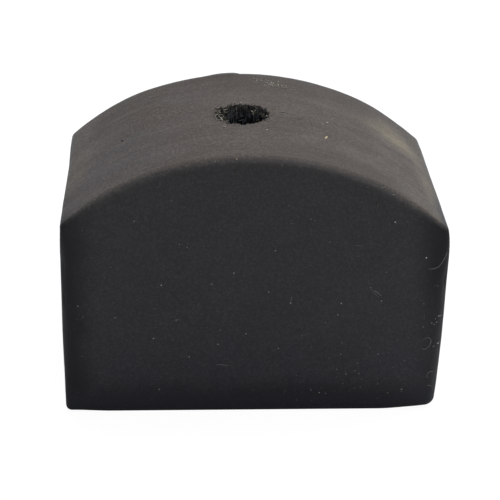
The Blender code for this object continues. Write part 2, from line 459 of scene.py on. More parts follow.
def block_attributes(points, edge, skin, bore):
    """The masks that the rubber's material reads."""
    from_axis = np.hypot(points[:, 0] - BORE_X, points[:, 1] - BORE_Y)
    depth = np.clip(crown_z(points[:, 0]) - points[:, 2], 0, None)
    leftward = step(0.30, 0.85, (BORE_X - points[:, 0]) / np.maximum(from_axis, 1))
    frayed = np.maximum(np.exp(-depth / 0.7), leftward * np.exp(-depth / 2.2))
    return {
        "edge_wear": edge,
        "bore_wall": bore,
        "mouth": np.exp(-np.clip(from_axis - BORE_RADIUS, 0, None) / 1.2),
        "bore_top": bore * frayed,
        "rub": smeared(points, RUB) * skin,
        "smear": smeared(points, SMEAR) * skin,
        "streak": smeared(points, STREAKS) * skin,
    }


def build_block():
    rim = perimeter()
    count = len(rim)
    rings, kinds, around = block_rings(rim)
    sharp = np.concatenate(rings)
    kind = np.repeat(np.array(kinds), count)
    skin, bore = kind == "skin", kind == "bore"
    radial = np.tile(around, (len(rings), 1))
    points, normals, edge = rounded(sharp)
    points[~skin], edge[~skin] = sharp[~skin], 0.0
    points = wear_outside(leaned(points), normals, edge, skin)
    tear_bore(points, skin, bore, radial)

    faces = []
    for i in range(len(rings)):
        here, above = i * count, ((i + 1) % len(rings)) * count
        for j in range(count):
            k = (j + 1) % count
            faces.append((here + j, above + j, above + k, here + k))
    obj = mesh_object("rubber_body", points, faces, block_attributes(points, edge, skin, bore))
    obj.data.set_sharp_from_angle(angle=math.radians(50))
    return obj


body = build_block()
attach(body, "root")
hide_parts("rubber_block")


# -------------------------------------------------------- small loose pieces
def ball():
    sphere = bmesh.new()
    bmesh.ops.create_icosphere(sphere, subdivisions=1, radius=1.0)
    verts = np.array([v.co[:] for v in sphere.verts])
    faces = [tuple(v.index for v in f.verts) for f in sphere.faces]
    sphere.free()
    return verts, faces


BALL_VERTS, BALL_FACES = ball()
CORD_STEPS = 5  # points along each span between a cord's knots


def curve_through(knots):
    """Points on a smooth (Catmull-Rom) curve through the knots."""
    knots = np.asarray(knots, float)
    padded = np.vstack([2 * knots[0] - knots[1], knots, 2 * knots[-1] - knots[-2]])
    path = []
    for i in range(1, len(padded) - 2):
        a, b, c, d = padded[i - 1 : i + 3]
        shares = np.linspace(0, 1, CORD_STEPS + 1)
        if i < len(padded) - 3:
            shares = shares[:-1]
        for t in shares:
            path.append(
                0.5
                * (
                    2 * b
                    + (c - a) * t
                    + (2 * a - 5 * b + 4 * c - d) * t**2
                    + (3 * b - a - 3 * c + d) * t**3
                )
            )
    return np.array(path)


class Pile:
    """Gathers small closed shapes into one mesh."""

    def __init__(self, seed):
        self.verts, self.faces, self.tones = [], [], []
        self.rng = np.random.default_rng(seed)

    def put(self, verts, faces, tone):
        start = len(self.verts)
        self.verts += [tuple(v) for v in verts]
        self.faces += [tuple(start + i for i in f) for f in faces]
        self.tones += [tone] * len(verts)

    def cord(self, knots, radius, tone, sides=5):
        """A curved round strand through the knots, tapering to closed tips."""
        path = curve_through(knots)
        along = np.gradient(path, axis=0)
        along /= np.maximum(np.linalg.norm(along, axis=1), 1e-9)[:, None]
        side = np.cross(along[0], [0.31, 0.52, 0.79])
        side /= np.linalg.norm(side)
        verts, count = [], len(path)
        for i in range(count):
            side = side - along[i] * np.dot(side, along[i])
            side /= np.linalg.norm(side)
            other = np.cross(along[i], side)
            share = i / (count - 1)
            girth = radius * (0.45 + 0.55 * math.sin(math.pi * share) ** 0.5)
            for k in range(sides):
                turn = 2 * math.pi * k / sides
                spoke = math.cos(turn) * side + math.sin(turn) * other
                verts.append(path[i] + girth * spoke)
        verts.append(path[0] - along[0] * radius * 0.4)
        verts.append(path[-1] + along[-1] * radius * 0.4)
        first_tip, last_tip = count * sides, count * sides + 1
        end = (count - 1) * sides
        faces = []
        for i in range(count - 1):
            for k in range(sides):
                a, b = i * sides + k, i * sides + (k + 1) % sides
                faces.append((a, b, b + sides, a + sides))
        for k in range(sides):
            faces.append((first_tip, (k + 1) % sides, k))
            faces.append((last_tip, end + k, end + (k + 1) % sides))
        self.put(verts, faces, tone)

    def crumb(self, centre, normal, width, height, tone, lengthen=1.0, turn=0.0):
        """A lumpy grain lying on a surface, sunk a little way into it."""
        normal = normal / np.linalg.norm(normal)
        side = np.cross(normal, [0.0, 0.0, 1.0] if abs(normal[2]) < 0.7 else [0, 1.0, 0])
        side /= np.linalg.norm(side)
        other = np.cross(normal, side)
        long = math.cos(turn) * side + math.sin(turn) * other
        short = np.cross(normal, long)
        bumps = 1 + 0.28 * value_noise(BALL_VERTS * 1.7 + self.rng.uniform(0, 50), 5)
        local = BALL_VERTS * bumps[:, None]
        verts = (
            centre
            + normal * height * 0.25
            + local[:, :1] * long * width * lengthen / 2
            + local[:, 1:2] * short * width / 2
            + local[:, 2:] * normal * height / 2
        )
        self.put(verts, BALL_FACES, tone)

    def build(self, name, material):
        obj = mesh_object(name, self.verts, self.faces, {"tone": self.tones})
        obj.data.materials.append(material)
        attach(obj, "root")
        return obj


surface = BVHTree.FromObject(body, bpy.context.evaluated_depsgraph_get())


def hit(origin, direction):
    """Where a line (mm) first meets the block, and the surface normal there."""
    place, normal, _, _ = surface.ray_cast(Vector(origin) * MM, Vector(direction))
    return (None, None) if place is None else (np.array(place) / MM, np.array(normal))


def on_front(x, z):
    return hit((x, -60, z), (0, 1, 0))


def on_crown(x, y):
    return hit((x, y, 80), (0, 0, -1))


# ---------------------------------------------------------- material graphs
def linear(colour):
    """An 8-bit sRGB colour as the linear values nodes take."""
    out = []
    for v in colour:
        v = v / 255
        out.append(v / 12.92 if v <= 0.04045 else ((v + 0.055) / 1.055) ** 2.4)
    return (*out, 1.0)


class Value:
    """A node's output; sums with it add nodes to its graph."""

    def __init__(self, graph, socket):
        self.graph, self.socket = graph, socket

    def __add__(self, other):
        return self.graph.math("ADD", self, other)

    def __rsub__(self, other):
        return self.graph.math("SUBTRACT", other, self)

    def __mul__(self, other):
        return self.graph.math("MULTIPLY", self, other)

    def __truediv__(self, other):
        return self.graph.math("DIVIDE", self, other)

    def __pow__(self, other):
        return self.graph.math("POWER", self, other)

    def most(self, other):
        return self.graph.math("MAXIMUM", self, other)

    def ramp(self, start, end, to=(0.0, 1.0)):
        """Goes smoothly from to[0] at start to to[1] at end."""
        made = self.graph.node("ShaderNodeMapRange", interpolation_type="SMOOTHSTEP")
        for index, v in enumerate((self, start, end, *to)):
            self.graph.feed(made.inputs[index], v)
        return Value(self.graph, made.outputs[0])

    def coat(self, colour, amount):
        """This colour with an amount of another laid over it."""
        return self.graph.mix(self, colour, amount)


class Graph:
    """A material's node tree, with one Principled shader at its end."""

    def __init__(self, name):
        self.material = bpy.data.materials.new(name)
        self.material.use_nodes = True
        self.tree = self.material.node_tree
        self.shader = self.tree.nodes["Principled BSDF"]
        coords = self.node("ShaderNodeTexCoord")
        self.mm = self.scaled(coords.outputs["Object"], 1000.0)

    def node(self, kind, **settings):
        made = self.tree.nodes.new(kind)
        for key, value in settings.items():
            setattr(made, key, value)
        return made

    def feed(self, socket, value):
        if isinstance(value, Value):
            value = value.socket
        if isinstance(value, bpy.types.NodeSocket):
            self.tree.links.new(value, socket)
        else:
            socket.default_value = value

    def set(self, name, value):
        self.feed(self.shader.inputs[name], value)

    def math(self, operation, first, second=0.0, clamp=False):
        made = self.node("ShaderNodeMath", operation=operation, use_clamp=clamp)
        self.feed(made.inputs[0], first)
        self.feed(made.inputs[1], second)
        return Value(self, made.outputs[0])

    def vector(self, operation, first, second):
        made = self.node("ShaderNodeVectorMath", operation=operation)
        self.feed(made.inputs[0], first)
        self.feed(made.inputs[1], second)
        return made.outputs["Vector"]

    def scaled(self, vector, scale):
        made = self.node("ShaderNodeVectorMath", operation="SCALE")
        self.feed(made.inputs[0], vector)
        self.feed(made.inputs["Scale"], scale)
        return made.outputs["Vector"]

    def mix(self, base, colour, amount):
        made = self.node("ShaderNodeMix", data_type="RGBA", clamp_factor=True)
        self.feed(made.inputs[0], amount)
        for index, shade in ((6, base), (7, colour)):
            self.feed(made.inputs[index], shade if isinstance(shade, Value) else linear(shade))
        return Value(self, made.outputs[2])

    def noise(self, size, detail=3.0, stretch=(1, 1, 1), shift=(0, 0, 0), rough=0.5):
        """Noise about 0.5, its features size mm across."""
        scaled = self.vector("MULTIPLY", self.mm, tuple(s / size for s in stretch))
        made = self.node("ShaderNodeTexNoise")
        made.inputs["Scale"].default_value = 1.0
        made.inputs["Detail"].default_value = detail
        made.inputs["Roughness"].default_value = rough
        self.feed(made.inputs["Vector"], self.vector("ADD", scaled, shift))
        return Value(self, made.outputs[0])

    def attribute(self, name):
        made = self.node("ShaderNodeAttribute", attribute_name=name)
        return Value(self, made.outputs["Fac"])

    def split(self, vector):
        made = self.node("ShaderNodeSeparateXYZ")
        self.feed(made.inputs[0], vector)
        return [Value(self, made.outputs[i]) for i in range(3)]

    def dots(self, size, radius, keep, shift=(0, 0, 0)):
        """1 inside scattered round specks, of which the share keep are shown."""
        moved = self.vector("ADD", self.scaled(self.mm, 1 / size), shift)
        made = self.node("ShaderNodeTexVoronoi", feature="F1")
        made.inputs["Scale"].default_value = 1.0
        self.feed(made.inputs["Vector"], moved)
        distance = Value(self, made.outputs["Distance"])
        inside = distance.ramp(radius / size, 0.4 * radius / size)
        chosen = self.split(made.outputs["Color"])
        shown = chosen[0].ramp(1 - keep - 0.01, 1 - keep + 0.01)
        return inside * shown * chosen[1].ramp(0.0, 1.0, to=(0.35, 1.0))

    def bump(self, height, strength, distance):
        made = self.node("ShaderNodeBump")
        made.inputs["Strength"].default_value = strength
        made.inputs["Distance"].default_value = distance
        self.feed(made.inputs["Height"], height)
        self.set("Normal", made.outputs[0])


# ------------------------------------------------------------------- rubber
# Colours are 8-bit sRGB. Bare rubber:
WALL_HIGH = (36.5, 36.5, 39)
# Low on the walls: bare rubber with a painted bluish reflection.
WALL_LOW_BLUE_REFLECTION = (38.5, 39, 46.5)
WALL_BLOOM = (46, 46, 47)
WALL_GRAIN = (58, 58, 60)
# Darkest rubber: the dark grain, and the darker upright edges and foot.
WALL_DARKEST = (20, 20.5, 23)
WALL_FOOT = (32, 33.5, 39)
WALL_ROUGHNESS = 0.62
SPECULAR = 0.28
# The dust film and the specks in it:
DUST_LEFT = (74, 71, 71)
DUST_MIDDLE = (69, 61, 57)
DUST_RIGHT = (89, 82, 75)
DUST_MAUVE = (76, 66, 65)
DUST_OLIVE = (73, 68, 59)
DUST_PALE = (95, 89, 84)
DUST_SHOULDER = (104, 98, 93)
DUST_COOL = (72, 74, 79)
DUST_DEEP = (54, 50, 49)
DUST_SHADE = (56, 49, 44)
DUST_YELLOW = (122, 115, 97)
DUST_LIP = (86, 75, 72)
DUST_THIN = (74, 73, 75)
# Painted bluish rim light for the back and side edges.
PAINTED_RIM_LIGHT = (112, 120, 127)
GRIT = (150, 148, 140)
# The torn bore:
BORE_FRAYED = (106, 101, 94)
BORE_DARK = (24, 27, 32)
# Painted highlight colour for the bore's upright flutes.
BORE_RIB_HIGHLIGHT = (92, 96, 102)


class RubberGraph(Graph):
    """Nearly black rubber under a dry film of dust, torn inside the bore."""

    def __init__(self):
        super().__init__("moulded_rubber")
        self.x, self.y, self.z = self.split(self.mm)
        self.abs_x = self.math("ABSOLUTE", self.x)
        self.abs_y = self.math("ABSOLUTE", self.y)
        normal = self.node("ShaderNodeNewGeometry").outputs["Normal"]
        _, self.facing_y, self.facing_up = self.split(normal)
        self.patches = self.noise(size=11, shift=(3, 7, 1))
        self.grain = self.noise(size=0.42, detail=2, shift=(1, 8, 5), rough=0.6)

    def darkened_edges_and_foot(self):
        """How much darker the walls are made: most near the upright edges and towards the foot."""
        x, y, z = self.x, self.y, self.z
        wander = self.noise(size=8, shift=(6, 1, 8)).ramp(0.3, 0.7, to=(-1.0, 1.0))
        off_front = y.ramp(-21.2, -19)
        corner = (self.abs_x + wander * 0.7).ramp(28.0, 34.2) * (
            self.abs_y + wander * (off_front * 1.2)
        ).ramp(HALF_DEPTH - 5.5, HALF_DEPTH - 0.4)
        # Less of this darkening low on the right.
        less_darkened = x.ramp(20, 26) * z.ramp(30, 16, to=(0.0, 0.45))
        corner = corner * (1 - less_darkened)
        foot = (z + wander * (off_front * 1.2 + 0.7)).ramp(8.5, 2.5)
        foot = foot * x.ramp(26, 34, to=(0.80, 1.0))
        return corner.most(foot) * (1 - off_front * 0.45)

    def bare(self, edge_foot_dark):
        """Bare rubber, turned bluer low down by a painted bluish reflection."""
        z, grain = self.z, self.grain
        cloud = self.noise(size=3.4, shift=(9, 2, 4))
        # Painted bluish reflection, strongest at the foot and gone by z = 36 mm.
        bare = self.mix(WALL_LOW_BLUE_REFLECTION, WALL_HIGH, z.ramp(0, 36))
        bare = bare.coat(WALL_BLOOM, self.patches.ramp(0.35, 0.68, to=(0, 0.40)))
        bare = bare.coat(WALL_BLOOM, cloud.ramp(0.38, 0.66, to=(0, 0.30)))
        bare = bare.coat(WALL_DARKEST, grain.ramp(0.30, 0.58, to=(0.40, 0.0)))
        bare = bare.coat(WALL_GRAIN, grain.ramp(0.52, 0.76, to=(0.0, 0.55)))
        # Darker near the upright edges and towards the foot.
        bare = bare.coat(self.mix(WALL_DARKEST, WALL_FOOT, z.ramp(7, 2)), edge_foot_dark * 0.85)
        # A painted pale reflection of the floor along the bottom edge's rounding.
        foot_edge_reflection = self.attribute("edge_wear") * z.ramp(1.6, 0.4)
        return bare.coat(WALL_GRAIN, foot_edge_reflection * 0.6)

    def film_zones(self):
        """The dust's broad colours, and where it is thin."""
        x, y = self.x, self.y
        drift = x + self.noise(size=7, shift=(1, 9, 9)).ramp(0.3, 0.7, to=(-9, 9))
        film = self.mix(DUST_LEFT, DUST_MIDDLE, drift.ramp(-28, -14))
        film = film.coat(DUST_RIGHT, drift.ramp(2, 26))
        # Thinner behind and in front of the bore, fading out at the right.
        behind = y.ramp(8, 15) * x.ramp(-19, 0)
        before = y.ramp(-10, -17) * x.ramp(-4, 8)
        thin = behind.most(before) * x.ramp(30, 22)
        film = film.coat(DUST_DEEP, thin * 0.56)
        # More of it on the left-hand shoulder, yellower midway along.
        shoulder = x.ramp(-28, -33) * y.ramp(-15, -6)
        film = film.coat(DUST_SHOULDER, shoulder * 0.95)
        middle = y.ramp(6, -1) * y.ramp(-9, -4)
        film = film.coat(DUST_YELLOW, shoulder * middle * 0.5)
        # A cooler patch between the shoulder and the bore.
        cool = x.ramp(-13, -20) * x.ramp(-34, -29)
        cool = cool * (y.ramp(3, -4) * y.ramp(-17, -11))
        return film.coat(DUST_COOL, cool * 0.6), thin

    def film_mottle(self, film, thin):
        """Blotches, streaks along x and grain in the dust."""
        streak = self.noise(size=1.0, stretch=(0.055, 0.9, 0.055), shift=(5, 5, 2))
        wide_streak = self.noise(size=2.6, detail=2, stretch=(0.09, 0.8, 0.09), shift=(2, 6, 9))
        hue = self.noise(size=4.6, stretch=(0.8, 1.2, 0.8), shift=(8, 1, 6))
        blotch = self.noise(size=1.7, detail=2, stretch=(0.8, 1.0, 0.8), shift=(4, 4, 9))
        coarse = self.noise(size=1.0, detail=2, shift=(5, 1, 1), rough=0.6)
        for colour, amount in (
            (DUST_MAUVE, hue.ramp(0.40, 0.66, to=(0, 0.5))),
            (DUST_OLIVE, self.patches.ramp(0.42, 0.68, to=(0, 0.35))),
            (DUST_OLIVE, blotch.ramp(0.50, 0.68, to=(0, 0.40))),
            (DUST_MAUVE, blotch.ramp(0.48, 0.32, to=(0, 0.40))),
            (DUST_PALE, streak.ramp(0.45, 0.75, to=(0.0, 0.28))),
            (DUST_DEEP, wide_streak.ramp(0.35, 0.62, to=(0.22, 0.0))),
            (DUST_DEEP, self.grain.ramp(0.32, 0.56, to=(0.66, 0.0))),
            (DUST_PALE, self.grain.ramp(0.48, 0.72, to=(0.0, 0.68))),
            (DUST_DEEP, coarse.ramp(0.35, 0.65, to=(0.24, 0.0))),
            (DUST_SHADE, thin * 0.36),
        ):
            film = film.coat(colour, amount)
        return film

    def film_marks(self, film):
        """Rubs, smears and scraped lines in the dust."""
        x, y, noise = self.x, self.y, self.noise
        # A yellowish rub from the back right, turning along the right-hand eave.
        broken = noise(size=2.4, stretch=(0.5, 1, 0.5), shift=(6, 3, 3))
        rub = self.attribute("rub") * broken.ramp(0.3, 0.62, to=(0.55, 1.0))
        rub = rub * noise(size=0.7, shift=(6, 6, 3)).ramp(0.3, 0.6, to=(0.5, 1.0))
        lined = noise(size=0.8, stretch=(0.16, 0.7, 0.16), shift=(9, 9, 1))
        rub = rub * lined.ramp(0.36, 0.56, to=(0.65, 1.0))
        film = film.coat(DUST_YELLOW, rub * 0.85)
        uneven = noise(size=1.4, shift=(1, 3, 3)).ramp(0.3, 0.7, to=(0.3, 1.0))
        film = film.coat(DUST_PALE, self.attribute("smear") * uneven * 0.55)
        uneven = noise(size=1.4, shift=(9, 3, 3)).ramp(0.3, 0.7, to=(0.35, 1.0))
        film = film.coat(DUST_DEEP, self.attribute("streak") * uneven * 0.85)
        # Dark lines scraped across the right.
        scrape = noise(size=1.0, stretch=(0.06, 0.75, 0.06), shift=(3, 1, 7))
        on_right = x.ramp(15, 23) * (y.ramp(9, 2) * y.ramp(-20, -9))
        film = film.coat(DUST_DEEP, scrape.ramp(0.56, 0.66) * on_right * 0.35)
        # Fine brushed lines, strongest on the left shoulder.
        brushed = noise(size=0.42, detail=2, stretch=(0.04, 1.0, 0.04), shift=(8, 3, 1))
        pale = brushed.ramp(0.52, 0.66) * x.ramp(-10, -26, to=(0.07, 0.24))
        film = film.coat(DUST_PALE, pale)
        dark = brushed.ramp(0.48, 0.34) * x.ramp(-10, -26, to=(0.06, 0.22))
        film = film.coat(DUST_DEEP, dark)
        # The crown's front and back edges hold a warmer, paler line.
        lip = self.abs_y.ramp(HALF_DEPTH - 2.6, HALF_DEPTH - 0.8)
        return film.coat(DUST_LIP, lip * self.facing_up.ramp(0.5, 0.95) * 0.12)

    def settled(self):
        """How much dust lies here; it thins as an edge turns over to a wall."""
        x, y, facing_y = self.x, self.y, self.facing_y
        level = self.math("SQRT", 1 - facing_y * facing_y)
        tilt = self.facing_up / level.most(0.05)
        settle = level**1.5 * tilt.ramp(0.08, 0.68)
        front_right = x.ramp(32.6, 34.4) * y.ramp(-7, -15)
        front_left = x.ramp(-32.4, -34.6) * y.ramp(-15, -20.5)
        settle = settle * (1 - front_right.most(front_left) * 0.75)
        ragged = self.noise(size=1.1, shift=(7, 7, 7)).ramp(0.3, 0.7, to=(-0.14, 0.14))
        on_edge = settle * (1 - settle) * 4.0
        return self.math("ADD", settle, ragged * on_edge, clamp=True)

    def film_edges(self, film, settle):
        """Thin dust looks cooler, and the back and side edges get a painted bluish rim light."""
        film = film.coat(DUST_THIN, settle.ramp(0.95, 0.5) * 0.5)
        # A painted bluish rim light along the back edge and the upper side edges.
        back = self.y.ramp(HALF_DEPTH - 1.9, HALF_DEPTH - 1.1)
        sides = self.abs_x.ramp(34.2, 34.9) * self.y.ramp(-10, 6, to=(0.0, 0.45))
        rim_light = back.most(sides) * settle.ramp(0.2, 0.7)
        rim_light = rim_light * self.noise(size=1.6, shift=(3, 8, 8)).ramp(0.3, 0.65, to=(0.25, 1.0))
        return film.coat(PAINTED_RIM_LIGHT, rim_light * 0.52)

    def torn(self):
        """The bore's torn rubber, free of dust, with painted highlights along its upright flutes,
        frayed and paler near the mouth.
        """
        # Pale upright streaks: painted highlights on the bore's flutes.
        rib_highlight = self.noise(size=0.36, detail=2, stretch=(1, 1, 0.22), shift=(2, 2, 2))
        torn = self.mix(BORE_DARK, BORE_RIB_HIGHLIGHT, rib_highlight.ramp(0.42, 0.72))
        threads = self.noise(size=0.55, stretch=(1, 1, 0.4), shift=(4, 1, 2))
        return torn.coat(BORE_FRAYED, self.attribute("bore_top") * threads.ramp(0.30, 0.56))


def rubber_material():
    graph = RubberGraph()
    edge_foot_dark, settle = graph.darkened_edges_and_foot(), graph.settled()
    film, thin = graph.film_zones()
    film = graph.film_marks(graph.film_mottle(film, thin))
    colour = graph.bare(edge_foot_dark).coat(graph.film_edges(film, settle), settle)
    big_dots = graph.dots(size=2.1, radius=0.13, keep=0.30) * 0.30
    tiny_dots = graph.dots(size=0.9, radius=0.075, keep=0.35, shift=(4, 2, 9)) * 0.16
    colour = colour.coat(GRIT, big_dots.most(tiny_dots))
    bore = graph.attribute("bore_wall")
    graph.set("Base Color", colour.coat(graph.torn(), bore))

    uneven = (WALL_ROUGHNESS - 0.05, WALL_ROUGHNESS + 0.05)
    rough = graph.patches.ramp(0.3, 0.7, to=uneven)
    graph.set("Roughness", graph.math("ADD", rough, settle * 0.22, clamp=True))
    dulled = bore.most(edge_foot_dark * 0.5) * (SPECULAR * 0.7)
    graph.set("Specular IOR Level", SPECULAR - dulled)
    graph.set("Sheen Weight", 0.16)
    graph.set("Sheen Roughness", 0.22)
    graph.set("Sheen Tint", (0.78, 0.88, 1.0, 1))

    # Fine moulding texture.
    fine = graph.noise(size=0.28, detail=2, shift=(2, 2, 8), rough=0.6)
    pebble = graph.noise(size=1.3, detail=2, shift=(6, 8, 2))
    graph.bump(fine * 0.6 + pebble * 0.8, strength=0.35, distance=0.00006)
    return graph.material


# ---------------------------------------------------------- other materials
def toned_material(name, dark, pale, size, roughness, on_top=None):
    """Dull material whose colour follows each shape's own tone and a mottle. The
    pale end is another colour behind the front face if on_top is given."""
    graph = Graph(name)
    tone = graph.attribute("tone")
    if on_top is not None:
        pale = graph.mix(pale, on_top, graph.split(graph.mm)[1].ramp(-22.0, -21.5))
    mottle = graph.noise(size=size).ramp(0.3, 0.7, to=(0.0, 0.55))
    graph.set("Base Color", graph.mix(dark, pale, tone).coat(dark, mottle))
    patchy = graph.noise(size=size * 2, detail=2)
    graph.set("Roughness", patchy.ramp(0.3, 0.7, to=(roughness - 0.1, roughness)))
    graph.set("Specular IOR Level", 0.2)
    graph.bump(graph.noise(size=size * 0.5, detail=2), strength=0.4, distance=0.00002)
    return graph.material


def steel_material(name, bright, dull, stretch):
    """Zinc-plated steel with a fine grain and a dull, stained film."""
    graph = Graph(name)
    stain = graph.noise(size=3.2, detail=4, shift=(2, 5, 8)).ramp(0.35, 0.7)
    lines = graph.noise(size=0.5, detail=2, stretch=stretch, shift=(1, 1, 3))
    base = graph.mix(bright, dull, stain).coat(dull, lines.ramp(0.4, 0.7, to=(0, 0.35)))
    graph.set("Base Color", base)
    graph.set("Metallic", 1.0)
    graph.set("Roughness", stain.ramp(0.0, 1.0, to=(0.28, 0.5)))
    graph.bump(lines, strength=0.3, distance=0.00003)
    return graph.material


rubber = rubber_material()
body.data.materials.append(rubber)
washer_steel = steel_material(
    "zinc_washer", bright=(205, 204, 198), dull=(150, 146, 132), stretch=(1, 1, 1)
)
sleeve_steel = steel_material(
    "zinc_sleeve", bright=(192, 192, 188), dull=(138, 135, 124), stretch=(3, 3, 0.12)
)
for piece, material in (
    ("rubber_block", rubber),
    ("seat_washer", washer_steel),
    ("distance_sleeve", sleeve_steel),
):
    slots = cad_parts[piece].data.materials
    slots.clear()
    slots.append(material)

cord_mat = toned_material(
    "cord_ends", dark=(44, 42, 38), pale=(182, 178, 164), size=0.3, roughness=0.95
)
grit_mat = toned_material(
    "grit", dark=(62, 60, 56), pale=(200, 204, 206), size=0.25, roughness=0.95,
    on_top=(206, 202, 186),
)
chaff_mat = toned_material(
    "chaff", dark=(150, 136, 108), pale=(196, 184, 152), size=0.5, roughness=0.9
)
lint_mat = toned_material(
    "lint", dark=(58, 58, 56), pale=(150, 150, 144), size=0.4, roughness=0.95
)

# ------------------------------------------------- cords at the bore's mouth
# Each row is a count, then ranges of angle (degrees, 0 at +x), depth below the
# mouth, length, upward lean, radius and tone.
LEFT_AND_BACK_CORDS = (
    (46, (128, 226), (0.1, 2.6), (0.6, 1.7), (-0.3, 0.9), (0.045, 0.085), (0.25, 0.95)),
    (34, (38, 130), (0.0, 2.8), (0.3, 0.9), (-0.6, 0.9), (0.035, 0.065), (0.2, 0.9)),
)
RIGHT_AND_FRONT_CORDS = (
    (22, (-32, 40), (0.2, 2.6), (0.4, 1.2), (-0.5, 0.5), (0.03, 0.055), (0.15, 0.7)),
    (18, (226, 328), (0.2, 2.0), (0.3, 0.7), (-0.8, 0.1), (0.03, 0.05), (0.1, 0.5)),
)
BACK_RIM_ANGLES = (128, 118, 112, 104, 97, 92, 86, 79, 72, 66)
FORK_TIPS = ((-0.5, 0.2, 0.42), (0.36, 0.15, 0.48), (-0.05, -0.15, -0.5))
# One at the right and two at the left: angle, depth, radius, tip from root.
BRIGHT_ENDS = (
    (8, 0.5, 0.14, (-0.25, 0.05, 0.22)),
    (158, 0.7, 0.09, (0.62, -0.3, -0.5)),
    (163, 0.1, 0.08, (0.4, 0.2, 0.5)),
)


def from_wall(degrees, depth):
    """A point on the bore's wall, and the direction back towards the axis."""
    angle = math.radians(degrees)
    outward = np.array([math.cos(angle), math.sin(angle), 0.0])
    start = np.array([BORE_X, BORE_Y, HEIGHT - 0.4 - depth])
    place, _ = hit(start, outward)
    return (start + outward * BORE_RADIUS if place is None else place), -outward


def build_cords():
    pile = Pile(20)
    rng = pile.rng

    def strand(degrees, depth, length, rise, radius, tone):
        root, inward = from_wall(degrees, depth)
        swirl = np.cross(inward, [0, 0, 1.0])
        way = inward * rng.uniform(0.3, 1.0) + swirl * rng.uniform(-0.9, 0.9)
        way = way + np.array([0, 0, rise])
        way /= np.linalg.norm(way)
        curl = rng.normal(0, 0.22, 3) * length
        knots = [
            root - inward * 0.12,
            root + way * length * 0.35 + curl * 0.5,
            root + way * length * 0.7 + curl,
            root + way * length + curl * 0.6 + rng.normal(0, 0.12, 3) * length,
        ]
        pile.cord(knots, radius, tone)

    def tangle(rows):
        for count, *ranges in rows:
            for _ in range(count):
                strand(*[rng.uniform(*span) for span in ranges])

    tangle(LEFT_AND_BACK_CORDS)
    for degrees in BACK_RIM_ANGLES:  # short ends standing on the back rim
        root, inward = from_wall(degrees + rng.uniform(-3, 3), rng.uniform(-0.1, 0.5))
        tip = root + inward * rng.uniform(0.1, 0.35) + np.array([0, 0, rng.uniform(0.45, 0.85)])
        middle = (root + tip) / 2 + rng.normal(0, 0.05, 3)
        radius = rng.uniform(0.05, 0.075)
        pile.cord([root - inward * 0.1, middle, tip], radius, tone=rng.uniform(0.45, 0.95))
    tangle(RIGHT_AND_FRONT_CORDS)
    # One forked strand, at the back right.
    root, inward = from_wall(57, 0.6)
    fork = root + inward * 0.7 + np.array([0.05, -0.1, -0.2])
    for tip in FORK_TIPS:
        knots = [fork, fork + np.array(tip) * 0.5, fork + np.array(tip)]
        pile.cord(knots, radius=0.085, tone=0.95, sides=6)
    stem = [root - inward * 0.1, (root + fork) / 2 + [0, 0, 0.06], fork]
    pile.cord(stem, radius=0.06, tone=0.7)
    for degrees, depth, radius, tip in BRIGHT_ENDS:
        root, inward = from_wall(degrees, depth)
        root = root + inward * 0.25
        knots = [root, root + np.array(tip) * 0.5, root + np.array(tip)]
        pile.cord(knots, radius, tone=1.0, sides=6)
    pile.build("cord_ends", cord_mat)


# --------------------------------------------------------------------- grit
FRONT_SPECKS = (
    # x, z, width, paleness
    (-17.1, 27.0, 0.30, 0.60), (-3.9, 29.4, 0.30, 0.45), (-7.9, 27.2, 0.28, 0.30),
    (-25.6, 20.3, 0.28, 0.30), (-14.4, 19.7, 0.30, 0.35), (24.9, 39.6, 0.32, 0.80),
    (31.0, 32.4, 0.32, 0.85), (21.2, 26.3, 0.22, 0.40), (23.3, 23.5, 0.26, 0.65),
    (15.9, 23.1, 0.30, 0.60), (2.5, 25.5, 0.28, 0.35), (3.5, 33.9, 0.26, 0.35),
    (-21.8, 39.9, 0.30, 0.20), (-13.8, 35.3, 0.26, 0.20), (-12.4, 34.7, 0.24, 0.18),
    (-15.2, 43.8, 0.26, 0.15), (9.7, 40.2, 0.28, 0.22), (6.3, 39.3, 0.26, 0.20),
    (23.9, 29.5, 0.26, 0.25), (13.3, 35.6, 0.24, 0.20), (-6.7, 14.6, 0.26, 0.55),
    (-18.6, 15.9, 0.24, 0.50), (-1.5, 16.8, 0.26, 0.45), (4.6, 13.6, 0.26, 0.40),
    (-6.3, 17.6, 0.20, 0.30), (-12.0, 11.9, 0.28, 0.32),
    (6.6, 23.2, 0.32, 0.55), (-32.3, 22.8, 0.34, 0.25), (-17.6, 4.9, 0.24, 0.45),
    (15.4, 20.7, 0.28, 0.40), (16.4, 14.7, 0.26, 0.40), (23.3, 12.3, 0.34, 0.42),
    (25.2, 12.4, 0.30, 0.18), (19.6, 10.3, 0.28, 0.34), (17.5, 8.0, 0.32, 0.38),
    (19.9, 8.1, 0.22, 0.50), (19.2, 8.7, 0.24, 0.50), (12.6, 3.9, 0.26, 0.66),
    (13.8, 3.7, 0.32, 0.30), (11.0, 4.5, 0.26, 0.36), (20.3, 5.1, 0.24, 0.22),
    (23.6, 5.7, 0.30, 0.20), (25.6, 3.7, 0.26, 0.50), (28.2, 4.5, 0.42, 0.48),
    (16.3, 12.3, 0.34, 0.20), (17.0, 5.9, 0.26, 0.22), (13.2, 19.0, 0.36, 0.14),
    (31.4, 18.0, 0.26, 0.45), (31.2, 22.9, 0.26, 0.30), (28.4, 10.8, 0.30, 0.20),
    (33.0, 18.8, 0.26, 0.50), (33.5, 18.5, 0.22, 0.40), (33.6, 19.7, 0.24, 0.50),
    (33.9, 18.9, 0.22, 0.70), (34.2, 20.2, 0.30, 0.60), (34.6, 20.1, 0.26, 0.50),
)
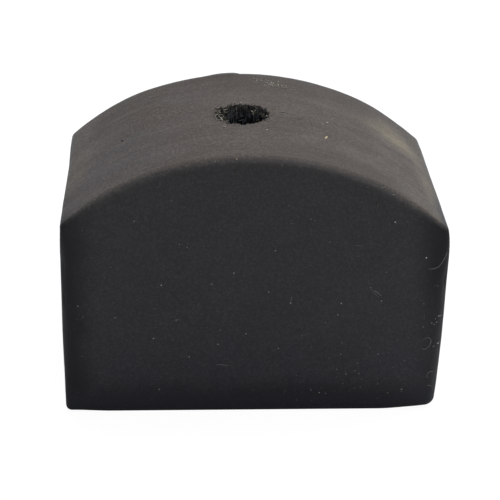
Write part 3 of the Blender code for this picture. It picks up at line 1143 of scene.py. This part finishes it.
CROWN_SPECKS = (
    # x, y, width, paleness, then lengthening and turn where it is drawn out
    (-22.3, 7.3, 0.30, 0.60), (-19.3, -1.5, 0.30, 0.60), (-23.3, 1.8, 0.26, 0.45),
    (-17.8, 8.4, 0.30, 0.45), (-27.6, 18.0, 0.26, 0.50), (-13.4, 4.0, 0.24, 0.40),
    (-14.8, 1.9, 0.24, 0.35), (-5.3, -7.0, 0.26, 0.35), (23.5, -0.4, 0.26, 0.60),
    (23.9, -3.3, 0.26, 0.60), (18.4, 13.5, 0.26, 0.55), (-29.1, -12.1, 0.28, 0.35),
    (-3.7, -21.2, 0.34, 0.45), (11.9, -4.9, 0.22, 0.25), (9.7, 3.6, 0.28, 0.55),
    (-9.1, -20.6, 0.26, 0.40), (-7.5, -21.3, 0.26, 0.40),
    (14.2, 0.3, 0.30, 0.70, 4.2, 0.92), (13.3, -1.0, 0.18, 0.55, 3.0, 0.7),
)
MOUTH_SPECKS = (
    # Same columns: pale crumbs round the mouth, then dust on its torn back rim.
    (-5.9, -3.5, 0.62, 0.62, 1.2, 0.5), (-5.4, -6.9, 0.52, 0.58, 1.2, 0.2),
    (2.3, -8.6, 0.42, 0.58, 1.3, 0.4), (8.6, 3.6, 0.34, 0.42, 1.2, 0.2),
    (11.9, -4.9, 0.34, 0.34, 1.2, 0.2),
    (-1.9, 5.15, 0.24, 0.85, 2.4, 0.15), (-1.2, 5.25, 0.20, 0.60, 2.0, 0.1),
    (-3.4, 4.7, 0.20, 0.70, 1.6, 1.2), (-0.6, 4.8, 0.20, 0.60, 1.6, 1.2),
)
# Upright smudges under the crown's front edge: x, z, width, height, lengthening.
SMUDGES = ((-3.7, 49.2, 0.50, 0.10, 3.4), (21.5, 42.9, 0.42, 0.09, 3.2))


def build_grit():
    pile = Pile(31)
    rng = pile.rng
    between = rng.uniform

    def front(x, z, size, tone, lengthen=1.0, turn=0.0):
        place, normal = on_front(x, z)
        if place is not None:
            pile.crumb(place, normal, size, size * 0.4, tone, lengthen, turn)

    def crown(x, y, size, tone, lengthen=1.0, turn=0.0):
        place, normal = on_crown(x, y)
        if place is not None and place[2] > 35:
            pile.crumb(place, normal, size, size * 0.45, tone, lengthen, turn)

    for x, z, size, tone in FRONT_SPECKS:  # duller low on the right
        front(x, z, size, tone * (0.7 if 9 < x < 31 and z < 21 else 1.0))
    for speck in CROWN_SPECKS:
        crown(*speck)
    for _ in range(150):  # sprinkled behind the bore
        along = min(1, max(0, rng.normal(0.42, 0.27)))
        crown(
            1.8 + 8.0 * along + rng.normal(0, 0.5), 16.9 - 3.0 * along + rng.normal(0, 0.95),
            between(0.10, 0.25), between(0.12, 0.8), between(1, 1.8), between(0, 3),
        )
    for _ in range(70):  # thinly over the rest
        crown(
            between(-33, 33), between(-21, 21),
            between(0.10, 0.2), between(0.05, 0.4), between(1, 1.6), between(0, 3),
        )
    left_rng = np.random.default_rng(71)
    for _ in range(115):  # on the left, beside the bore
        crown(
            left_rng.normal(-14.6, 3.8), left_rng.normal(4.6, 4.0), left_rng.uniform(0.10, 0.22),
            left_rng.uniform(0.05, 0.5), left_rng.uniform(1, 1.6), left_rng.uniform(0, 3),
        )
    for _ in range(34):  # along the crown's front edge
        crown(
            between(-33, 33), -HALF_DEPTH + between(0.1, 1.6),
            between(0.12, 0.26), between(0.0, 0.2), between(1, 2), between(0, 3),
        )
    for _ in range(26):  # round the mouth
        angle = between(0, 2 * math.pi)
        far = BORE_RADIUS + 0.4 + abs(rng.normal(0, 1.1))
        crown(
            BORE_X + far * math.cos(angle), BORE_Y + far * math.sin(angle),
            between(0.12, 0.24), between(0.1, 0.5),
        )
    for speck in MOUTH_SPECKS:
        crown(*speck)
    for side in ("right", "left", "back"):  # a thin scatter on the other walls
        for _ in range(60):
            z = between(2, 36)
            if side == "right":
                place, normal = hit((60, between(-21, 21), z), (-1, 0, 0))
            elif side == "left":
                place, normal = hit((-60, between(-21, 21), z), (1, 0, 0))
            else:
                place, normal = hit((between(-34, 34), 60, z), (0, -1, 0))
            if place is not None:
                size = between(0.1, 0.24)
                pile.crumb(place, normal, size, size * 0.4, between(0.05, 0.6))
    for x, z, width, height, lengthen in SMUDGES:
        pile.crumb(*on_front(x, z), width, height, tone=0.0, lengthen=lengthen, turn=1.57)
    front(34.5, 14.2, size=0.26, tone=0.95, lengthen=2.4)
    front(33.7, 13.8, size=0.16, tone=0.35, lengthen=3.0)
    for _ in range(45):  # thicker low on the right
        front(between(4, 31), between(2, 18), between(0.10, 0.2), between(0.05, 0.32))
    for _ in range(60):
        front(between(-34, 34), between(2, 44), between(0.09, 0.17), between(0.05, 0.3))
    pile.build("grit", grit_mat)


# --------------------------------------------------------------------- lint
# Radius, tone, and the points each fibre runs through: (x, z) on the front and
# (x, y) on the crown.
FRONT_LINT = (
    (0.05, 0.75, ((34.8, 33.5), (34.4, 32.2), (33.5, 30.7), (32.6, 30.2), (31.5, 30.1))),
    (
        0.045, 0.7,
        ((31.3, 13.5), (32.0, 13.2), (32.8, 13.9), (33.1, 15.2), (32.3, 15.7), (31.5, 15.1)),
    ),
    (0.045, 0.65, ((32.9, 6.8), (32.9, 7.8), (33.4, 8.3), (34.0, 8.2))),
    (0.045, 0.6, ((33.0, 5.2), (33.5, 5.3), (33.9, 4.9))),
    (0.04, 0.35, ((31.5, 20.8), (31.4, 20.2), (31.5, 19.6))),
    (0.04, 0.3, ((32.8, 26.6), (33.3, 26.8), (33.7, 26.4))),
    (0.05, 0.75, ((21.8, 25.8), (22.5, 25.2), (23.3, 24.5))),
    (0.035, 0.45, ((21.0, 26.4), (21.7, 25.4), (22.9, 24.2))),
    (0.05, 0.6, ((6.6, 23.5), (6.7, 24.0), (6.8, 24.7))),
    (0.045, 0.55, ((-6.9, 10.2), (-5.9, 10.2), (-4.6, 9.9))),
    (0.035, 0.2, ((-9.8, 10.0), (-9.2, 10.3), (-8.5, 10.3))),
    (0.06, 0.3, ((18.0, 34.9), (18.6, 34.9), (19.3, 34.8))),
    (0.05, 0.2, ((18.0, 32.8), (18.5, 32.8), (19.0, 32.8))),
    (0.05, 0.3, ((-14.5, 19.9), (-14.1, 19.9), (-13.7, 19.7))),
)
CROWN_LINT = (
    (0.085, 0.95, ((5.2, 0.4), (5.8, 0.3), (6.4, 0.15), (7.0, -0.1))),
    (0.07, 0.4, ((21.9, -21.5), (22.4, -21.2), (23.0, -20.9))),
)
LINT_LIFT = 0.03


def build_lint():
    pile = Pile(47)
    for finder, fibres in ((on_front, FRONT_LINT), (on_crown, CROWN_LINT)):
        for radius, tone, course in fibres:
            found = [finder(*spot) for spot in course]
            knots = [
                place + normal * LINT_LIFT for place, normal in found if place is not None
            ]
            if len(knots) > 1:
                pile.cord(knots, radius, tone)
    pile.build("lint", lint_mat)


# ------------------------------------------------------- crumbs and a flake
# Long crumbs of rubber: x, y, width, height, lengthening, turn.
LONG_CRUMBS = (
    (-24.4, 0.0, 0.55, 0.18, 3.3, 1.96),
    (8.8, -1.1, 0.05, 0.06, 50.0, 0.42),
    (6.0, 0.8, 0.07, 0.10, 30.0, 2.99),
)


def build_flecks():
    pile = Pile(53)
    rng = pile.rng
    for x, y, width, height, lengthen, turn in LONG_CRUMBS:
        pile.crumb(*on_crown(x, y), width, height, 0.0, lengthen, turn)
    # Crumbs of torn rubber round the mouth, except at its left end.
    for _ in range(44):
        angle = rng.uniform(0, 2 * math.pi)
        far = BORE_RADIUS + rng.uniform(-0.15, 0.55)
        if abs(angle - 3.3) < 0.7:
            continue
        place, normal = on_crown(BORE_X + far * math.cos(angle), BORE_Y + far * math.sin(angle))
        if place is not None and place[2] > 46:
            size = rng.uniform(0.12, 0.34)
            lengthen, turn = rng.uniform(1, 1.5), rng.uniform(0, 3)
            pile.crumb(place, normal, size, size * 0.8, 0.0, lengthen, turn)
    mesh = pile.build("rubber_crumbs", rubber).data
    add_attribute(mesh, "bore_wall", np.full(len(mesh.vertices), 0.95))


def build_chaff():
    """One straw-coloured flake lying on the crown."""
    pile = Pile(61)
    flake = on_crown(13.3, -7.8)
    pile.crumb(*flake, width=0.46, height=0.15, tone=0.7, lengthen=4.4, turn=1.21)
    pile.build("chaff", chaff_mat)


build_cords()
build_chaff()
build_grit()
build_lint()
build_flecks()


# -------------------------------------------------------------------- stage
def show_camera(tree, output_kind, seen, unseen):
    """Gives camera rays one shader and all other rays another."""
    out = tree.nodes.new(output_kind)
    mixed = tree.nodes.new("ShaderNodeMixShader")
    path = tree.nodes.new("ShaderNodeLightPath")
    tree.links.new(path.outputs["Is Camera Ray"], mixed.inputs[0])
    tree.links.new(unseen.outputs[0], mixed.inputs[1])
    tree.links.new(seen.outputs[0], mixed.inputs[2])
    tree.links.new(mixed.outputs[0], out.inputs[0])


def floor_material():
    """Looks almost shadowless white, as an overexposed sweep does, while what it
    throws back onto the block stays modest."""
    material = bpy.data.materials.new("white_sweep")
    material.use_nodes = True
    tree = material.node_tree
    tree.nodes.clear()
    seen = tree.nodes.new("ShaderNodeAddShader")
    glow = tree.nodes.new("ShaderNodeEmission")
    faint = tree.nodes.new("ShaderNodeBsdfDiffuse")
    bounce = tree.nodes.new("ShaderNodeBsdfDiffuse")
    glow.inputs["Strength"].default_value = 0.95
    faint.inputs["Color"].default_value = (0.10, 0.10, 0.10, 1)
    bounce.inputs["Color"].default_value = (0.80, 0.80, 0.81, 1)
    tree.links.new(glow.outputs[0], seen.inputs[0])
    tree.links.new(faint.outputs[0], seen.inputs[1])
    show_camera(tree, "ShaderNodeOutputMaterial", seen=seen, unseen=bounce)
    return material


def build_floor():
    mesh = bpy.data.meshes.new("floor")
    grid = bmesh.new()
    bmesh.ops.create_grid(grid, x_segments=8, y_segments=8, size=3.0)
    grid.to_mesh(mesh)
    grid.free()
    floor = bpy.data.objects.new("floor", mesh)
    bpy.context.scene.collection.objects.link(floor)
    mesh.materials.append(floor_material())


def area_light(name, location, size, power):
    """A rectangular light aimed just above the middle of the base; metres, watts."""
    data = bpy.data.lights.new(name, "AREA")
    data.shape = "RECTANGLE"
    data.size, data.size_y = size
    data.energy = power
    data.color = (1, 1, 1)
    lamp = bpy.data.objects.new(name, data)
    lamp.location = location
    aim = Vector((0, 0, 0.02)) - Vector(location)
    lamp.rotation_euler = aim.to_track_quat("-Z", "Y").to_euler()
    bpy.context.scene.collection.objects.link(lamp)


def build_world():
    """A room that is white behind the block and to its right, dimmer in front,
    and plain white to the camera."""
    world = bpy.data.worlds.new("studio")
    bpy.context.scene.world = world
    world.use_nodes = True
    tree = world.node_tree
    tree.nodes.clear()
    dim = tree.nodes.new("ShaderNodeBackground")
    white = tree.nodes.new("ShaderNodeBackground")
    room = tree.nodes.new("ShaderNodeTexCoord")
    towards = tree.nodes.new("ShaderNodeVectorMath")
    towards.operation = "DOT_PRODUCT"
    towards.inputs[1].default_value = (0.40, 0.90, 0.15)
    level = tree.nodes.new("ShaderNodeMapRange")
    level.interpolation_type = "SMOOTHSTEP"
    limits = {"From Min": -0.15, "From Max": 0.85, "To Min": 0.16, "To Max": 0.95}
    for name, value in limits.items():
        level.inputs[name].default_value = value
    tree.links.new(room.outputs["Generated"], towards.inputs[0])
    tree.links.new(towards.outputs["Value"], level.inputs[0])
    tree.links.new(level.outputs[0], dim.inputs[1])
    dim.inputs[0].default_value = (0.95, 0.97, 1.0, 1)
    white.inputs[0].default_value = (1, 1, 1, 1)
    white.inputs[1].default_value = 1.0
    show_camera(tree, "ShaderNodeOutputWorld", seen=white, unseen=dim)


CAMERA_PLACE = (-0.0144999, -0.2684647, 0.1572102)  # metres
YAW, PITCH, ROLL = -0.0544, -0.4627, -0.0206  # radians from looking along +y


def build_camera():
    data = bpy.data.cameras.new("camera")
    data.sensor_width = 36.0
    data.lens = 110.322
    data.clip_start = 0.01
    data.clip_end = 20.0
    camera = bpy.data.objects.new("camera", data)
    bpy.context.scene.collection.objects.link(camera)
    turn = (
        Matrix.Rotation(YAW, 3, "Z")
        @ Matrix.Rotation(PITCH, 3, "X")
        @ Matrix.Rotation(ROLL, 3, "Y")
    )
    right, forward, up = turn.transposed()
    place = Matrix((right, up, -forward)).transposed().to_4x4()
    place.translation = CAMERA_PLACE
    camera.matrix_world = place
    bpy.context.scene.camera = camera


build_floor()
area_light("key", location=(0.22, 0.28, 0.78), size=(0.95, 0.7), power=8.5)
area_light("fill", location=(0.05, -0.9, 0.45), size=(0.5, 0.4), power=1.8)
build_world()
build_camera()
bpy.context.scene.view_settings.view_transform = "Standard"
